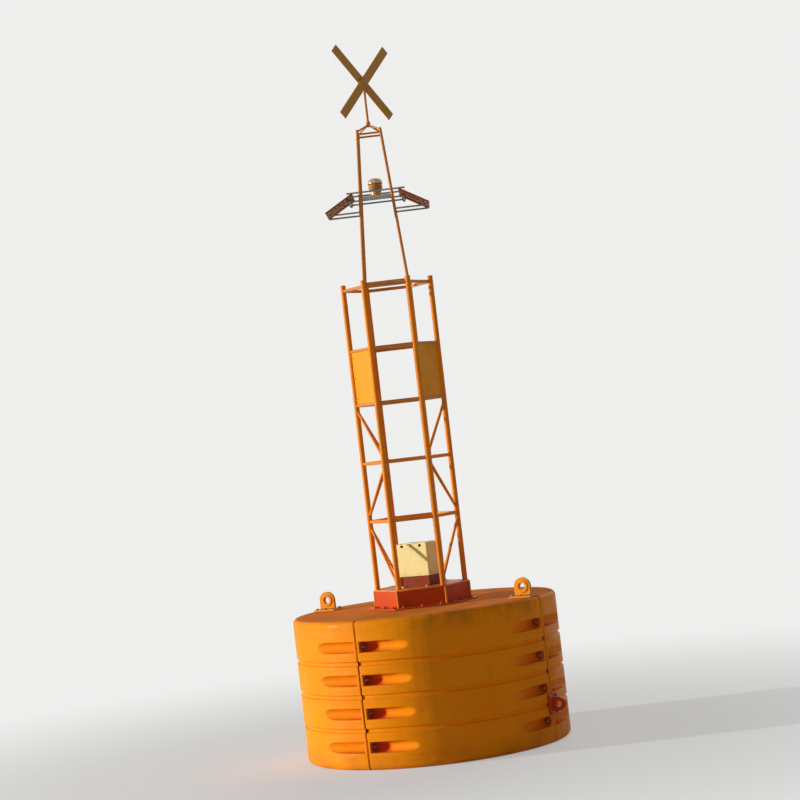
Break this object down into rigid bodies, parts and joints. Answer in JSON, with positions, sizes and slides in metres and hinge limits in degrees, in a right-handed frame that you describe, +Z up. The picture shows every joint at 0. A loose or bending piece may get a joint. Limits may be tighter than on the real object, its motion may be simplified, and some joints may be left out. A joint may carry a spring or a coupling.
{
  "type": "navigation buoy",
  "caption": "Yellow marine navigation buoy: round sectioned plastic float, steel lattice tower, lantern, sloping solar panels and crossed topmark.",
  "frame": {"origin": "centre of the float's flat bottom, on the floor", "axes": "+Z up along the mast, -Y the side seen in front in the picture, +X to its right"},
  "size_m": [2.3998, 2.3998, 6.4358],
  "materials": {
    "float_yellow": "moulded",
    "frame_orange": "painted",
    "base_red": "painted",
    "lug_orange": "painted",
    "daymark_yellow": "painted",
    "galvanised": "weathered",
    "solar_cells": "glossy",
    "tray_brown": "painted",
    "lantern_amber": "glossy",
    "lantern_lens": "clear",
    "box_cream": "moulded",
    "ballast_iron": "rough",
    "stainless": "brushed"
  },
  "bodies": {
    "buoy": {"float_module_a": "float_yellow", "float_module_b": "float_yellow", "float_module_c": "float_yellow", "float_module_d": "float_yellow", "core_tube": "base_red", "bottom_plate": "base_red", "ballast_discs": "ballast_iron", "seam_plates": "base_red", "mooring_lugs": "base_red", "lifting_lugs": "lug_orange", "deck_flange": "base_red", "base_box": "base_red", "tower_legs": "frame_orange", "level_bars_2": "frame_orange", "level_bars_3": "frame_orange", "level_bars_4": "frame_orange", "level_bars_5": "frame_orange", "ring_bars": "frame_orange", "diagonal_braces": "frame_orange", "daymark_panels": "daymark_yellow", "mast_rails": "frame_orange", "mast_foot_bars": "frame_orange", "mast_legs": "frame_orange", "platform": "galvanised", "panel_rails": "galvanised", "cross_bars": "galvanised", "top_bars": "galvanised", "solar_panels": "solar_cells", "solar_trays": "tray_brown", "solar_cradles": "frame_orange", "solar_brackets": "galvanised", "solar_struts": "galvanised", "lantern_base": "lantern_amber", "lantern_lens": "lantern_lens", "lantern_cap": "lantern_amber", "mast_frame": "frame_orange", "hip_bars": "frame_orange", "topmark_rod": "frame_orange", "topmark_arm_front": "daymark_yellow", "topmark_arm_back": "daymark_yellow", "box_plinth": "base_red", "battery_box": "box_cream", "hinge_pins": "stainless"},
    "lid": {"box_lid": "box_cream"}
  },
  "joints": [
    {"name": "battery_lid_hinge", "type": "hinge", "parent": "buoy", "child": "lid", "pos_m": [0.0625, 0.10825, 1.824], "axis": [-0.866, 0.5, 0], "range_deg": [0, 100]}
  ]
}
